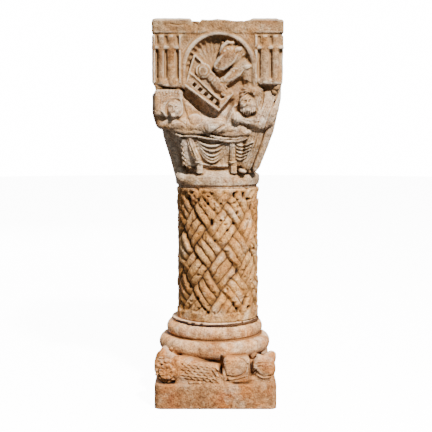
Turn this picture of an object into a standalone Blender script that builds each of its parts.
"""A carved stone column in three blocks: base, woven shaft and figured capital.

Metres, +Z up. The column's axis is the Z axis, the underside lies on Z = 0 and
the carved front looks towards -Y. Carving is drawn in carver's units: a capital
is 333 units wide and 430 high, and a base is 320 wide. A place on a
face is given as (across, up, out), where out starts at the carved ground.
"""
import math

import bmesh
import bpy
import numpy as np
from mathutils import Matrix, Vector

# Heights of the upper two blocks, and the joint between blocks
SHAFT_HEIGHT = 0.3521
CAPITAL_HEIGHT = 0.4303
BED_JOINT = 0.0003

# Base
PLINTH_WIDTH = 0.321
PLINTH_HEIGHT = 0.066
PLINTH_OFFSET_X = -0.0055
PLINTH_CORNER = 0.020
PLINTH_ARRIS = 0.006
MOULDING_OFFSET_X = -0.0085
LOWER_TORUS_RADIUS = 0.150
LOWER_TORUS_THICKNESS = 0.048
UPPER_TORUS_RADIUS = 0.130
UPPER_TORUS_THICKNESS = 0.048
TORI_OVERLAP = 0.008
GROOVE_RADIUS = 0.112
DRUM_RADIUS = 0.128
DRUM_HEIGHT = 0.057
BASE_BED_RADIUS = 0.118
BASE_BED_LIP = 0.006
ROOTING = 0.004

# Shaft
SHAFT_RADIUS = 0.1125
BANDS_AROUND = 8
STRANDS_IN_BAND = 3
WEAVE_RISE = 0.110
WEAVE_ANGLE = math.radians(-38.5)
WEAVE_START = 0.1917
GROOVE_DEPTH = 0.0055
PLAIN_FOOT = 0.028
PLAIN_HEAD = 0.009

# Capital
CAPITAL_WIDTH = 0.333
NECK_RADIUS = 0.114
NECK_BED_RADIUS = 0.106
NECK_RING_FOOT = 0.008
NECK_RING_HEAD = 0.036
NECK_SWELL = 0.002
NECK_LEDGE = 0.017
ROUND_GUARD = 0.001
NICHE_RADIUS = 0.080
FRONT_NICHE_DEPTH = 0.042
SIDE_NICHE_DEPTH = 0.026
RIM_THICKNESS = 0.011
SLOT_WIDTH = 0.0115
SLOT_HEIGHT = 0.084
SLOT_DEPTH = 0.016

# Fineness of the carved forms before they are thinned to facets
CARVING_GRAIN = 0.0030
CAPITAL_KEEP = 0.0195
HOLLOWS_KEEP = 0.07
BEAST_KEEP = 0.022
TURNED_SIDES = 40

# Carver's units of the drawings
BEAST_SETBACK = 8.0
DRAWN_CAPITAL_WIDTH = 333.0
DRAWN_CAPITAL_HEIGHT = 430.0
DRAWN_BASE_WIDTH = 320.0
DRAWN_PLINTH_HEIGHT = 66.0
DRAWN_DRUM_HEIGHT = 57.0

TORI_HEIGHT = LOWER_TORUS_THICKNESS + UPPER_TORUS_THICKNESS - TORI_OVERLAP
BASE_HEIGHT = PLINTH_HEIGHT + DRUM_HEIGHT + TORI_HEIGHT + BASE_BED_LIP
SHAFT_BED = BASE_HEIGHT + BED_JOINT
CAPITAL_BED = SHAFT_BED + SHAFT_HEIGHT + BED_JOINT
TOTAL_HEIGHT = CAPITAL_BED + CAPITAL_HEIGHT
QUARTER = math.pi / 2


def clear_scene():
    """Remove every object, so that the script starts from nothing."""
    for thing in list(bpy.data.objects):
        bpy.data.objects.remove(thing, do_unlink=True)


def new_collection(name):
    """A collection under the scene's own."""
    group = bpy.data.collections.new(name)
    bpy.context.scene.collection.children.link(group)
    return group


def stone(name, colour, roughness):
    """A plain stone material."""
    material = bpy.data.materials.new(name)
    material.use_nodes = True
    shader = material.node_tree.nodes["Principled BSDF"]
    shader.inputs["Base Color"].default_value = (*colour, 1.0)
    shader.inputs["Roughness"].default_value = roughness
    shader.inputs["Metallic"].default_value = 0.0
    return material


def add_object(name, mesh, group, material=None):
    """Link a mesh as an object of a collection."""
    thing = bpy.data.objects.new(name, mesh)
    group.objects.link(thing)
    if material:
        thing.data.materials.append(material)
    return thing


def as_tool(thing):
    """Mark an object that only cuts or feeds another one."""
    thing.hide_render = True
    thing.display_type = "WIRE"
    return thing


def combine(target, tool, operation):
    """Join or cut the target with another closed form."""
    step = target.modifiers.new(f"{operation.lower()} {tool.name}", "BOOLEAN")
    step.operation = operation
    step.solver = "EXACT"
    step.object = tool
    return step


def melt(target, grain, keep):
    """Run overlapping forms into one skin and thin it to flat facets."""
    skin = target.modifiers.new("one skin", "REMESH")
    skin.mode = "VOXEL"
    skin.voxel_size = grain
    skin.use_smooth_shade = True
    thin = target.modifiers.new("facets", "DECIMATE")
    thin.ratio = keep
    return thin


class Carving:
    """Closed forms gathered in one mesh, placed on the four sides of a block.

    across and up are carver's units, and out is counted from the ground, a
    function of the height that gives the wall's distance from the axis.
    """

    def __init__(self, unit_across, unit_up, bed, ground, centre_x=0.0):
        self.pieces = []
        self.unit_across = unit_across
        self.unit_up = unit_up
        self.bed = bed
        self.ground = ground
        self.centre_x = centre_x

    def keep(self, form):
        """Store one closed form as a mesh of its own."""
        mesh = bpy.data.meshes.new("form")
        form.to_mesh(mesh)
        form.free()
        self.pieces.append(mesh)

    def place(self, side, spot):
        """World point of (across, up, out) on a side; side 0 is the front."""
        across, up, out = spot
        wall = self.ground(up) * self.unit_across
        point = Vector((across * self.unit_across, -wall - out * self.unit_across,
                        self.bed + up * self.unit_up))
        point.rotate(Matrix.Rotation(side * QUARTER, 3, "Z"))
        point.x += self.centre_x
        return point

    def frame(self, side, spot, turn=0.0, lean=0.0, yaw=0.0):
        """Axes at a spot: turned in the face, leaned outwards, swung about Z."""
        place = Matrix.Translation(self.place(side, spot))
        swing = Matrix.Rotation(side * QUARTER + math.radians(yaw), 4, "Z")
        tilt = Matrix.Rotation(math.radians(turn), 4, "Y")
        nod = Matrix.Rotation(math.radians(lean), 4, "X")
        return place @ swing @ nod @ tilt

    def ball(self, side, spot, radii, turn=0.0, lean=0.0, yaw=0.0):
        """An ellipsoid with half widths (across, out, up)."""
        size = Vector(radii) * self.unit_across
        shape = self.frame(side, spot, turn, lean, yaw) @ Matrix.Diagonal((*size, 1.0))
        form = bmesh.new()
        bmesh.ops.create_uvsphere(form, u_segments=16, v_segments=10, radius=1.0, matrix=shape)
        self.keep(form)

    def drum(self, side, spot, radius, run):
        """A round drum whose axis points out of the face."""
        form = bmesh.new()
        turn = Matrix.Rotation(QUARTER, 4, "X")
        bmesh.ops.create_cone(form, cap_ends=True, segments=32,
                              radius1=radius * self.unit_across, radius2=radius * self.unit_across,
                              depth=run * self.unit_across, matrix=self.frame(side, spot) @ turn)
        self.keep(form)

    def bar(self, side, start, end, start_radius, end_radius=None):
        """A tapered round bar with round ends."""
        end_radius = start_radius if end_radius is None else end_radius
        first = self.place(side, start)
        last = self.place(side, end)
        axis = last - first
        turn = axis.to_track_quat("Z", "Y").to_matrix().to_4x4()
        form = bmesh.new()
        bmesh.ops.create_cone(form, cap_ends=True, segments=12,
                              radius1=start_radius * self.unit_across,
                              radius2=end_radius * self.unit_across, depth=axis.length,
                              matrix=Matrix.Translation((first + last) / 2) @ turn)
        for centre, radius in ((first, start_radius), (last, end_radius)):
            bmesh.ops.create_uvsphere(form, u_segments=12, v_segments=8,
                                      radius=radius * self.unit_across,
                                      matrix=Matrix.Translation(centre))
        self.keep(form)

    def chain(self, side, spots, radius):
        """Round bars one after the other."""
        for start, end in zip(spots[:-1], spots[1:]):
            self.bar(side, start, end, radius)

    def slab(self, side, spot, size, soft, turn=0.0, lean=0.0, yaw=0.0):
        """A block of size (across, out, up) with rounded arrises."""
        form = bmesh.new()
        scale = Matrix.Diagonal((*(Vector(size) * self.unit_across), 1.0))
        bmesh.ops.create_cube(form, size=1.0, matrix=scale)
        bmesh.ops.bevel(form, geom=form.edges[:], offset=soft * self.unit_across,
                        segments=2, profile=0.5, affect="EDGES")
        bmesh.ops.transform(form, matrix=self.frame(side, spot, turn, lean, yaw), verts=form.verts)
        self.keep(form)

    def finish(self, name, group):
        """The gathered forms as one object."""
        forms = bmesh.new()
        for piece in self.pieces:
            forms.from_mesh(piece)
            bpy.data.meshes.remove(piece)
        mesh = bpy.data.meshes.new(name)
        forms.to_mesh(mesh)
        forms.free()
        return add_object(name, mesh, group)


def rough_block(name, size, middle, group):
    """The squared block that a piece is carved from."""
    form = bmesh.new()
    bmesh.ops.create_cube(form, size=1.0, matrix=Matrix.Diagonal((*size, 1.0)))
    mesh = bpy.data.meshes.new(name)
    form.to_mesh(mesh)
    form.free()
    block = as_tool(add_object(name, mesh, group))
    block.location = middle
    return block


def turned(name, profile, steps, group, centre_x=0.0):
    """Turn a profile, listed from top to bottom, about the Z axis."""
    mesh = bpy.data.meshes.new(name)
    corners = [(radius, 0.0, height) for radius, height in profile]
    edges = [(i, i + 1) for i in range(len(corners) - 1)]
    mesh.from_pydata(corners, edges, [])
    thing = add_object(name, mesh, group)
    thing.location.x = centre_x
    lathe = thing.modifiers.new("lathe", "SCREW")
    lathe.steps = steps
    lathe.render_steps = steps
    lathe.use_merge_vertices = True
    lathe.merge_threshold = 0.0001
    return thing


def evaluated_mesh(thing):
    """The mesh of an object after its modifiers."""
    bpy.context.view_layer.update()
    seen = thing.evaluated_get(bpy.context.evaluated_depsgraph_get())
    return bpy.data.meshes.new_from_object(seen)


def arc(centre, radius, start, end, count):
    """Points (radius, height) along an arc, in degrees from the outward direction."""
    angles = np.radians(np.linspace(start, end, count))
    return [(centre[0] + radius * math.cos(a), centre[1] + radius * math.sin(a)) for a in angles]


# Base: plinth, creatures and two round mouldings

def base_profile():
    """The mouldings' section, from the top bed's centre down into the plinth."""
    upper = UPPER_TORUS_THICKNESS / 2
    lower = LOWER_TORUS_THICKNESS / 2
    lower_height = PLINTH_HEIGHT + DRUM_HEIGHT + lower
    upper_height = BASE_HEIGHT - BASE_BED_LIP - upper
    groove = (lower_height + upper_height) / 2
    lip = 0.0005
    reach = (upper_height - lower_height) / 2 - lip
    upper_end = math.degrees(math.asin(min(1.0, reach / upper)))
    lower_end = math.degrees(math.asin(min(1.0, reach / lower)))
    shoulder = 62.0
    points = [(0.0, BASE_HEIGHT), (BASE_BED_RADIUS, BASE_HEIGHT)]
    points += arc((UPPER_TORUS_RADIUS - upper, upper_height), upper, shoulder, -upper_end, 5)
    points += [(GROOVE_RADIUS, groove)]
    points += arc((LOWER_TORUS_RADIUS - lower, lower_height), lower, lower_end, -shoulder, 5)
    points += [(DRUM_RADIUS, PLINTH_HEIGHT + DRUM_HEIGHT - ROOTING)]
    points += [(DRUM_RADIUS, PLINTH_HEIGHT - ROOTING), (0.0, PLINTH_HEIGHT - ROOTING)]
    return points


def plinth(group, material):
    """The square slab, with rounded corners and worn arrises."""
    form = bmesh.new()
    size = Matrix.Diagonal((PLINTH_WIDTH, PLINTH_WIDTH, PLINTH_HEIGHT, 1.0))
    bmesh.ops.create_cube(form, size=1.0, matrix=size)
    upright = [edge for edge in form.edges if abs(edge.verts[0].co.z - edge.verts[1].co.z) > 1e-6]
    bmesh.ops.bevel(form, geom=upright, offset=PLINTH_CORNER, segments=5, profile=0.5, affect="EDGES")
    level = [edge for edge in form.edges if abs(edge.verts[0].co.z - edge.verts[1].co.z) < 1e-6]
    rim = [edge for edge in level if edge.verts[0].co.z > 0.0]
    bmesh.ops.bevel(form, geom=rim, offset=PLINTH_ARRIS, segments=2, profile=0.5, affect="EDGES")
    mesh = bpy.data.meshes.new("base")
    form.to_mesh(mesh)
    form.free()
    slab = add_object("base", mesh, group, material)
    slab.location = (PLINTH_OFFSET_X, 0.0, PLINTH_HEIGHT / 2)
    return slab


def front_left_beast(carving):
    """A maned beast lying along the front, its head on the corner."""
    carving.bar(0, (-70.0, 92.0, -52.0), (-122.0, 98.0, -34.0), 27.0, 27.0)
    carving.ball(0, (-120.0, 99.0, -26.0), (37.0, 34.0, 33.0))
    carving.ball(0, (-132.0, 134.0, -34.0), (28.0, 30.0, 20.0), turn=-30.0)
    for angle in range(-60, 241, 30):
        lock = math.radians(angle)
        carving.bar(0, (-120.0 + 15.0 * math.cos(lock), 99.0 + 15.0 * math.sin(lock), 2.0),
                    (-120.0 + 33.0 * math.cos(lock), 99.0 + 31.0 * math.sin(lock), -8.0), 6.0, 5.0)
    carving.ball(0, (-134.0, 95.0, -4.0), (16.0, 12.0, 14.0))
    carving.slab(0, (-56.0, 92.0, -24.0), (100.0, 44.0, 58.0), 16.0, turn=9.0)
    for row in range(4):
        height = 108.0 - 11.0 * row
        carving.bar(0, (-86.0, height, -1.0), (-2.0 - 12.0 * row, height - 8.0, -5.0), 6.0, 4.0)
    for toe in range(3):
        carving.ball(0, (-68.0 + 13.0 * toe, 71.0, -2.0), (8.0, 12.0, 6.0))


def front_right_beast(carving):
    """A crouching beast: a square haunch on the front and a round head on the corner."""
    carving.slab(0, (52.0, 100.0, -22.0), (70.0, 54.0, 70.0), 13.0, turn=3.0)
    carving.slab(0, (50.0, 105.0, 3.0), (50.0, 14.0, 48.0), 6.0, turn=4.0)
    carving.bar(0, (70.0, 92.0, -52.0), (122.0, 98.0, -34.0), 27.0, 27.0)
    carving.ball(0, (124.0, 104.0, -22.0), (33.0, 32.0, 33.0))
    carving.ball(0, (132.0, 97.0, -4.0), (20.0, 20.0, 14.0))
    carving.bar(0, (106.0, 82.0, -2.0), (146.0, 80.0, -4.0), 6.0, 5.0)
    carving.ball(0, (112.0, 131.0, -26.0), (18.0, 22.0, 14.0), turn=20.0)
    for toe in range(3):
        carving.ball(0, (86.0 + 12.0 * toe, 71.0, -3.0), (8.0, 12.0, 6.0))


def back_spur(carving, side):
    """A plain folded leaf that fills a hidden corner of the plinth."""
    carving.ball(side, (108.0, 88.0, -48.0), (30.0, 52.0, 34.0), yaw=45.0)
    carving.ball(side, (132.0, 80.0, -26.0), (22.0, 18.0, 20.0), yaw=45.0)


def side_body(carving, side, reach):
    """The plain flank of a beast, seen along a side of the plinth."""
    carving.slab(side, (reach, 94.0, -28.0), (84.0, 44.0, 58.0), 15.0, turn=4.0)


def make_base(group, tools, material):
    """Plinth, mouldings and creatures as one solid."""
    block = plinth(group, material)
    mouldings = as_tool(turned("mouldings", base_profile(), TURNED_SIDES, tools, MOULDING_OFFSET_X))
    half_width = DRAWN_BASE_WIDTH / 2
    unit_up = DRUM_HEIGHT / DRAWN_DRUM_HEIGHT
    carving = Carving(PLINTH_WIDTH / DRAWN_BASE_WIDTH, unit_up,
                      PLINTH_HEIGHT - DRAWN_PLINTH_HEIGHT * unit_up,
                      lambda up: half_width - BEAST_SETBACK, PLINTH_OFFSET_X)
    front_left_beast(carving)
    front_right_beast(carving)
    side_body(carving, 1, -82.0)
    side_body(carving, 3, 84.0)
    back_spur(carving, 1)
    back_spur(carving, 2)
    beasts = as_tool(carving.finish("beasts", tools))
    melt(beasts, CARVING_GRAIN, BEAST_KEEP)
    size = (PLINTH_WIDTH, PLINTH_WIDTH, BASE_HEIGHT)
    middle = (PLINTH_OFFSET_X, 0.0, PLINTH_HEIGHT / 2 + BASE_HEIGHT / 2)
    combine(beasts, rough_block("base block", size, middle, tools), "INTERSECT")
    combine(block, mouldings, "UNION")
    combine(block, beasts, "UNION")
    return block


# Shaft: a drum with a plain weave of three-strand bands

def shaft_rows():
    """Heights of the vertex rings: the plain ends and the weave's lattice between."""
    step = WEAVE_RISE / (2 * STRANDS_IN_BAND)
    first = math.ceil((PLAIN_FOOT - WEAVE_START) / step)
    last = math.floor((SHAFT_HEIGHT - PLAIN_HEAD - WEAVE_START) / step)
    lattice = [(WEAVE_START + index * step, index) for index in range(first, last + 1)]
    foot = [(0.0, None), (lattice[0][0] - step / 2, None)]
    return foot + lattice + [(SHAFT_HEIGHT, None)]


def make_shaft(group, material):
    """A turned drum whose lattice of vertices rises on strands and sinks in grooves.

    Along the surface, s = x / width + z / rise and t = x / width - z / rise. A band
    follows constant s or constant t, and the parity of floor(s) + floor(t) says
    which of the two lies on top of the other.
    """
    columns = BANDS_AROUND * 2 * STRANDS_IN_BAND
    rows = shaft_rows()
    heights = [height for height, index in rows]
    profile = [(0.0, SHAFT_HEIGHT)]
    profile += [(SHAFT_RADIUS, height) for height in reversed(heights)]
    profile += [(0.0, 0.0)]
    drum = turned("drum", profile, columns, group)
    mesh = evaluated_mesh(drum)
    bpy.data.objects.remove(drum, do_unlink=True)
    mesh.name = "shaft"
    mesh.transform(Matrix.Rotation(WEAVE_ANGLE - QUARTER, 4, "Z"))
    form = bmesh.new()
    form.from_mesh(mesh)
    step_angle = 2 * math.pi / columns
    row_of = {round(height * 1e5): index for height, index in rows}

    def lattice_place(vertex):
        """Column and row of a lattice vertex, or nothing on the plain ends."""
        row = row_of.get(round(vertex.co.z * 1e5))
        if row is None or math.hypot(vertex.co.x, vertex.co.y) < SHAFT_RADIUS / 2:
            return None
        around = math.atan2(vertex.co.y, vertex.co.x) + QUARTER - WEAVE_ANGLE
        return round(around / step_angle) % columns, row

    places = {vertex: lattice_place(vertex) for vertex in form.verts}
    for vertex, place in places.items():
        if place and (place[0] + place[1]) % 2 == 0:
            vertex.co.xy *= 1.0 - GROOVE_DEPTH / SHAFT_RADIUS
    period = 2 * STRANDS_IN_BAND
    for face in [face for face in form.faces if len(face.verts) == 4]:
        spots = [places[vertex] for vertex in face.verts]
        if not all(spots):
            continue
        around = [spot[0] for spot in spots]
        column = min(around) if max(around) - min(around) == 1 else columns - 1
        row = min(spot[1] for spot in spots)
        falling = (math.floor((column + row + 1) / period) + math.floor((column - row) / period)) % 2 == 0
        low_left = next(v for v, s in zip(face.verts, spots) if s == (column, row))
        corner = list(face.verts).index(low_left)
        start = corner + 1 if falling else corner
        ends = [face.verts[start % 4], face.verts[(start + 2) % 4]]
        bmesh.ops.connect_verts(form, verts=ends)
    bmesh.ops.triangulate(form, faces=[face for face in form.faces if len(face.verts) == 4])
    form.to_mesh(mesh)
    form.free()
    mesh.shade_smooth()
    shaft = add_object("shaft", mesh, group, material)
    shaft.location.z = SHAFT_BED
    return shaft


# Capital: bell, block, arch and figures

# Height, half width and corner radius of the ground, in carver's units
CAPITAL_SECTIONS = (
    (60.0, 96.0, 88.0),
    (85.0, 102.0, 80.0),
    (115.0, 115.0, 74.0),
    (147.0, 126.0, 66.0),
    (177.0, 133.0, 60.0),
    (208.0, 141.0, 52.0),
    (234.0, 146.0, 46.0),
    (240.0, 158.0, 38.0),
    (262.0, 162.0, 34.0),
    (350.0, 163.0, 32.0),
    (354.0, 166.0, 32.0),
    (394.0, 163.0, 32.0),
    (398.0, 167.0, 30.0),
    (436.0, 167.0, 30.0),
)


def capital_ground(up):
    """Distance of the ground from the axis at a height, in carver's units."""
    heights = [section[0] for section in CAPITAL_SECTIONS]
    widths = [section[1] for section in CAPITAL_SECTIONS]
    return float(np.interp(up, heights, widths))


def rounded_square(half_width, corner, count):
    """Ring of points with four equal corner arcs, a circle where both are equal."""
    points = []
    for side in range(4):
        centre_angle = QUARTER * side + QUARTER / 2
        reach = (half_width - corner) * math.sqrt(2.0)
        centre = (reach * math.cos(centre_angle), reach * math.sin(centre_angle))
        for index in range(count):
            angle = QUARTER * side + QUARTER * index / (count - 1)
            points.append((centre[0] + corner * math.cos(angle), centre[1] + corner * math.sin(angle)))
    return points


def loft(name, sections, group):
    """Skin rings of equal count, from a round neck to a square block."""
    form = bmesh.new()
    rings = []
    for height, half_width, corner in sections:
        ring = [form.verts.new((x, y, height)) for x, y in rounded_square(half_width, corner, 7)]
        rings.append(ring)
    for lower, upper in zip(rings[:-1], rings[1:]):
        for index in range(len(lower)):
            following = (index + 1) % len(lower)
            form.faces.new((lower[index], lower[following], upper[following], upper[index]))
    form.faces.new(list(reversed(rings[0])))
    form.faces.new(rings[-1])
    mesh = bpy.data.meshes.new(name)
    form.to_mesh(mesh)
    form.free()
    return add_object(name, mesh, group)


def capital_core(tools):
    """Neck ring, bell and block, before any carving."""
    across = CAPITAL_WIDTH / DRAWN_CAPITAL_WIDTH
    up = CAPITAL_HEIGHT / DRAWN_CAPITAL_HEIGHT
    ring_foot = NECK_RING_FOOT
    ring_head = NECK_RING_HEAD
    slope = 0.004
    neck = NECK_RADIUS - NECK_LEDGE
    rings = (
        (-ROOTING, NECK_BED_RADIUS),
        (ring_foot - slope, NECK_BED_RADIUS),
        (ring_foot, NECK_RADIUS - NECK_SWELL),
        ((ring_foot + ring_head) / 2, NECK_RADIUS),
        (ring_head, NECK_RADIUS - NECK_SWELL),
        (ring_head + slope, neck),
    )
    sections = [(CAPITAL_BED + height, radius, radius - ROUND_GUARD) for height, radius in rings]
    for height, half_width, corner in CAPITAL_SECTIONS:
        sections.append((CAPITAL_BED + height * up, half_width * across, corner * across))
    return as_tool(loft("capital core", sections, tools))


def capital_carving():
    """An empty carving on the capital's ground."""
    return Carving(CAPITAL_WIDTH / DRAWN_CAPITAL_WIDTH, CAPITAL_HEIGHT / DRAWN_CAPITAL_HEIGHT,
                   CAPITAL_BED, capital_ground)


ARCH_CENTRE = (3.0, 305.0)
FRONT_SLOTS = (-149.0, -124.0, -97.0, 102.0, 134.0)
SIDE_SLOTS = (-130.0, -104.0, 104.0, 130.0)
SLOT_FOOT = 265.0
NICHE_FOOT = 236.0
WINDOW_HEIGHT = 374.0
CLEAR_OF_FACE = 20.0


def niche_and_slots(cuts, side, slots, centre, niche_depth):
    """The arched niche of a side, the tower slots and the small windows above them."""
    unit = cuts.unit_across
    depth = niche_depth / unit
    radius = NICHE_RADIUS / unit
    run = depth + CLEAR_OF_FACE
    out = CLEAR_OF_FACE - run / 2
    cuts.drum(side, (centre[0], centre[1], out), radius, run)
    half = (centre[1] - NICHE_FOOT) / 2
    cuts.slab(side, (centre[0], NICHE_FOOT + half, out), (2 * radius, run, 2 * half + 1.0), 0.5)
    width = SLOT_WIDTH / unit
    height = SLOT_HEIGHT / unit
    sink = SLOT_DEPTH / unit
    run = sink + CLEAR_OF_FACE
    out = CLEAR_OF_FACE - run / 2
    for slot in slots:
        cuts.slab(side, (slot, SLOT_FOOT + height / 2, out), (width, run, height), 1.0)
        cuts.slab(side, (slot, WINDOW_HEIGHT, out), (width, run, 26.0), 3.0)


def front_pockets(cuts):
    """Deep hollows between the front figures."""
    cuts.ball(0, (-45.0, 222.0, 6.0), (62.0, 34.0, 20.0), turn=40.0)
    cuts.ball(0, (24.0, 214.0, 6.0), (30.0, 28.0, 12.0), turn=-50.0)
    cuts.ball(0, (-120.0, 256.0, 18.0), (46.0, 30.0, 6.0), turn=6.0)
    cuts.ball(0, (124.0, 238.0, 12.0), (34.0, 34.0, 12.0), turn=-22.0)
    cuts.ball(0, (-2.0, 52.0, 2.0), (42.0, 24.0, 9.0))
    cuts.bar(0, (160.0, 252.0, 4.0), (132.0, 186.0, 8.0), 4.0)
    cuts.bar(0, (132.0, 186.0, 8.0), (94.0, 54.0, 6.0), 4.0)


def broken_top(cuts):
    """Breaks in the abacus, running back from its front edge."""
    for across, width, drop, run in ((-54.0, 13.0, 14.0, 130.0), (52.0, 34.0, 8.0, 78.0),
                                     (-24.0, 20.0, 4.0, 60.0), (158.0, 12.0, 6.0, 30.0)):
        cuts.ball(0, (across, DRAWN_CAPITAL_HEIGHT, 2.0), (width, run, drop))


def swag(carving, side, left, right, depth, out, radius):
    """A hanging fold: a round bar along a parabola between two points."""
    count = 7
    spots = []
    for index in range(count):
        share = index / (count - 1)
        across = left[0] + (right[0] - left[0]) * share
        up = left[1] + (right[1] - left[1]) * share - 4 * depth * share * (1 - share)
        spots.append((across, up, out))
    carving.chain(side, spots, radius)


def arch_rim(carving, side, centre, niche_depth):
    """The raised moulding round a niche and the flutes of its shell."""
    radius = (NICHE_RADIUS + RIM_THICKNESS / 2) / carving.unit_across
    count = 12
    spots = [(centre[0] + radius, 246.0, -2.0)]
    for index in range(count + 1):
        angle = math.pi * index / count
        spots.append((centre[0] + radius * math.cos(angle), centre[1] + radius * math.sin(angle), -2.0))
    spots.append((centre[0] - radius, 246.0, -2.0))
    carving.chain(side, spots, 0.55 * RIM_THICKNESS / carving.unit_across)
    depth = niche_depth / carving.unit_across
    inner = 0.92 * NICHE_RADIUS / carving.unit_across
    for index in range(9):
        angle = math.radians(18.0 + 18.0 * index)
        start = (centre[0] - 12.0 + 14.0 * math.cos(angle), centre[1] - 38.0 + 14.0 * math.sin(angle))
        end = (centre[0] + inner * math.cos(angle), centre[1] + inner * math.sin(angle))
        carving.bar(side, (*start, -depth + 4.0), (*end, 8.0 - depth), 3.5, 7.5)


def crib(carving):
    """The tilted crib with its row of square windows and the swaddled child on it."""
    tilt = 43.0
    along = (math.cos(math.radians(tilt)), -math.sin(math.radians(tilt)))
    down = (along[1], -along[0])
    middle = (-24.0, 258.0)
    front = 2.0

    def spot(reach, drop, out):
        """A point on the crib's face, from its middle along and down its long side."""
        return (middle[0] + along[0] * reach + down[0] * drop,
                middle[1] + along[1] * reach + down[1] * drop, out)

    carving.slab(0, spot(0.0, 0.0, front - 38.0), (136.0, 50.0, 66.0), 4.0, turn=tilt)
    for rail in (3.0, 31.0):
        carving.bar(0, spot(-64.0, rail, front - 5.0), spot(64.0, rail, front - 5.0), 6.0)
    for post in np.linspace(-62.0, 62.0, 7):
        carving.bar(0, spot(post, 4.0, front - 6.0), spot(post, 30.0, front - 6.0), 5.0)
    carving.ball(0, (-35.0, 297.0, front - 12.0), (20.0, 9.0, 20.0))
    carving.ball(0, (-35.0, 297.0, front - 7.0), (13.0, 9.0, 14.0))
    carving.bar(0, (-22.0, 284.0, front - 12.0), (16.0, 246.0, front - 10.0), 14.0, 10.0)


def ox_and_ass(carving):
    """Two beasts' heads in the niche, above the crib."""
    carving.bar(0, (34.0, 346.0, -18.0), (6.0, 310.0, -4.0), 21.0, 13.0)
    carving.ball(0, (6.0, 309.0, -2.0), (15.0, 14.0, 13.0))
    carving.bar(0, (20.0, 362.0, -10.0), (32.0, 368.0, -12.0), 5.0, 4.0)
    carving.bar(0, (10.0, 352.0, -8.0), (2.0, 360.0, -12.0), 5.0, 4.0)
    carving.ball(0, (58.0, 346.0, -26.0), (24.0, 18.0, 26.0))
    carving.bar(0, (58.0, 312.0, -14.0), (22.0, 271.0, 0.0), 18.0, 12.0)
    carving.ball(0, (24.0, 272.0, 0.0), (15.0, 14.0, 12.0), turn=40.0)
    carving.bar(0, (62.0, 326.0, -8.0), (88.0, 312.0, -8.0), 8.0, 4.0)
    carving.ball(0, (78.0, 282.0, -24.0), (24.0, 22.0, 36.0))


def left_figure(carving):
    """A veiled figure lying on a draped bed, its head at the left corner."""
    carving.slab(0, (-124.0, 219.0, -12.0), (76.0, 54.0, 72.0), 12.0)
    carving.ball(0, (-114.0, 208.0, 16.0), (18.0, 12.0, 23.0))
    carving.bar(0, (-114.0, 212.0, 27.0), (-114.0, 204.0, 30.0), 3.0)
    carving.bar(0, (-118.0, 172.0, -8.0), (30.0, 158.0, -8.0), 27.0, 22.0)
    carving.bar(0, (-134.0, 178.0, -24.0), (-104.0, 60.0, -8.0), 28.0, 22.0)
    carving.ball(0, (-58.0, 179.0, 14.0), (19.0, 12.0, 15.0))
    carving.ball(0, (-17.0, 162.0, 12.0), (40.0, 12.0, 15.0), turn=12.0)
    carving.bar(0, (30.0, 158.0, 4.0), (80.0, 148.0, 0.0), 18.0, 14.0)
    carving.chain(0, [(-118.0, 148.0, 12.0), (-88.0, 137.0, 14.0), (-7.0, 131.0, 16.0),
                      (47.0, 127.0, 14.0), (78.0, 137.0, 10.0)], 4.0)


def right_figure(carving):
    """A seated figure with the head on one fist, its cloak falling down the corner."""
    carving.ball(0, (85.0, 230.0, -6.0), (28.0, 24.0, 39.0))
    carving.bar(0, (84.0, 230.0, 15.0), (83.0, 219.0, 16.0), 3.5)
    carving.ball(0, (50.0, 184.0, 10.0), (17.0, 14.0, 19.0))
    carving.bar(0, (54.0, 178.0, 2.0), (96.0, 162.0, -6.0), 15.0, 18.0)
    carving.slab(0, (120.0, 198.0, -18.0), (64.0, 56.0, 66.0), 16.0, turn=-12.0)
    carving.bar(0, (112.0, 176.0, -16.0), (82.0, 66.0, -6.0), 26.0, 16.0)
    carving.bar(0, (150.0, 234.0, -28.0), (104.0, 62.0, -20.0), 18.0, 12.0)
    carving.ball(0, (68.0, 49.0, 10.0), (11.0, 14.0, 9.0))


def bed_hangings(carving):
    """The cloth hanging from the bed in swags between gathered ends, and the bed's feet."""
    carving.slab(0, (-8.0, 97.0, -9.0), (150.0, 20.0, 70.0), 6.0, lean=23.0)
    carving.bar(0, (-74.0, 132.0, 6.0), (-56.0, 72.0, 6.0), 9.0, 8.0)
    carving.bar(0, (37.0, 124.0, 6.0), (39.0, 74.0, 6.0), 8.0, 7.0)
    for index in range(4):
        drop = 16.0 + 12.0 * index
        inset = 3.0 * index
        left = (-58.0 + inset, 126.0 - 2.0 * index)
        right = (27.0 - inset, 124.0 - 2.0 * index)
        swag(carving, 0, left, right, drop, 7.0, 4.5)
    for index in range(4):
        top = 122.0 - 13.0 * index
        carving.chain(0, [(92.0 - 6.0 * index, top, 2.0), (66.0 - 2.0 * index, top - 13.0, 6.0),
                          (48.0, top - 4.0, 6.0)], 4.0)
        carving.chain(0, [(-94.0 + 3.0 * index, top - 8.0, 0.0), (-82.0 + 3.0 * index, top - 14.0, 6.0)], 4.5)
    for foot in (-45.0, 40.0):
        carving.slab(0, (foot, 52.0, 4.0), (15.0, 16.0, 26.0), 3.0)
        carving.ball(0, (foot, 67.0, 8.0), (14.0, 8.0, 8.0))


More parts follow.
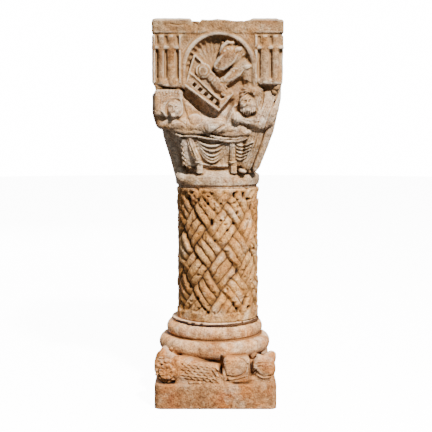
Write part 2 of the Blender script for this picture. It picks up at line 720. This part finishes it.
def attendant(carving, side):
    """A plain draped figure under the arch of a side that the front does not show."""
    carving.ball(side, (0.0, 262.0, -26.0), (27.0, 26.0, 36.0))
    carving.ball(side, (0.0, 258.0, -12.0), (18.0, 14.0, 23.0))
    carving.bar(side, (0.0, 260.0, 1.0), (0.0, 250.0, 1.0), 3.0)
    carving.slab(side, (0.0, 196.0, -16.0), (132.0, 50.0, 62.0), 22.0, lean=12.0)
    carving.slab(side, (0.0, 120.0, -12.0), (112.0, 44.0, 150.0), 18.0, lean=23.0)
    carving.bar(side, (-58.0, 196.0, 0.0), (-14.0, 160.0, 14.0), 14.0, 11.0)
    carving.bar(side, (58.0, 196.0, 0.0), (14.0, 168.0, 14.0), 14.0, 11.0)
    for fold in (-39.0, -13.0, 13.0, 39.0):
        carving.bar(side, (0.8 * fold, 136.0, 10.0), (fold, 62.0, 5.0), 6.5, 8.0)
    for index in range(3):
        level = 152.0 - 12.0 * index
        swag(carving, side, (-44.0, level), (44.0, level), 16.0, 12.0, 4.5)


def corner_cloak(carving, side):
    """The smooth cloth that fills a corner of the bell, from the block to the neck."""
    carving.bar(side, (134.0, 214.0, -30.0), (98.0, 64.0, -26.0), 30.0, 18.0)


def make_capital(group, tools, material):
    """Core, niches and figures as one solid, cut flat at both beds."""
    core = capital_core(tools)
    cuts = capital_carving()
    niche_and_slots(cuts, 0, FRONT_SLOTS, ARCH_CENTRE, FRONT_NICHE_DEPTH)
    for side in (1, 2, 3):
        niche_and_slots(cuts, side, SIDE_SLOTS, (0.0, ARCH_CENTRE[1]), SIDE_NICHE_DEPTH)
    front_pockets(cuts)
    broken_top(cuts)
    hollows = as_tool(cuts.finish("capital hollows", tools))
    melt(hollows, CARVING_GRAIN, HOLLOWS_KEEP)
    combine(core, hollows, "DIFFERENCE")

    carving = capital_carving()
    arch_rim(carving, 0, ARCH_CENTRE, FRONT_NICHE_DEPTH)
    crib(carving)
    ox_and_ass(carving)
    left_figure(carving)
    right_figure(carving)
    bed_hangings(carving)
    for side in (1, 2, 3):
        arch_rim(carving, side, (0.0, ARCH_CENTRE[1]), SIDE_NICHE_DEPTH)
        attendant(carving, side)
    for side in (1, 2):
        corner_cloak(carving, side)
    carving.pieces.append(evaluated_mesh(core))
    capital = carving.finish("capital", group)
    capital.data.materials.append(material)
    melt(capital, CARVING_GRAIN, CAPITAL_KEEP)
    size = (CAPITAL_WIDTH, CAPITAL_WIDTH, CAPITAL_HEIGHT)
    block = rough_block("capital block", size, (0.0, 0.0, CAPITAL_BED + CAPITAL_HEIGHT / 2), tools)
    combine(capital, block, "INTERSECT")
    return capital


def main():
    clear_scene()
    column = new_collection("romanesque column")
    tools = new_collection("cutters")
    base_stone = stone("base stone", (0.47, 0.29, 0.17), 0.88)
    shaft_stone = stone("shaft stone", (0.50, 0.33, 0.18), 0.88)
    capital_stone = stone("capital stone", (0.52, 0.39, 0.27), 0.90)
    make_base(column, tools, base_stone)
    make_shaft(column, shaft_stone)
    make_capital(column, tools, capital_stone)
    print("total height", round(TOTAL_HEIGHT, 4))


main()
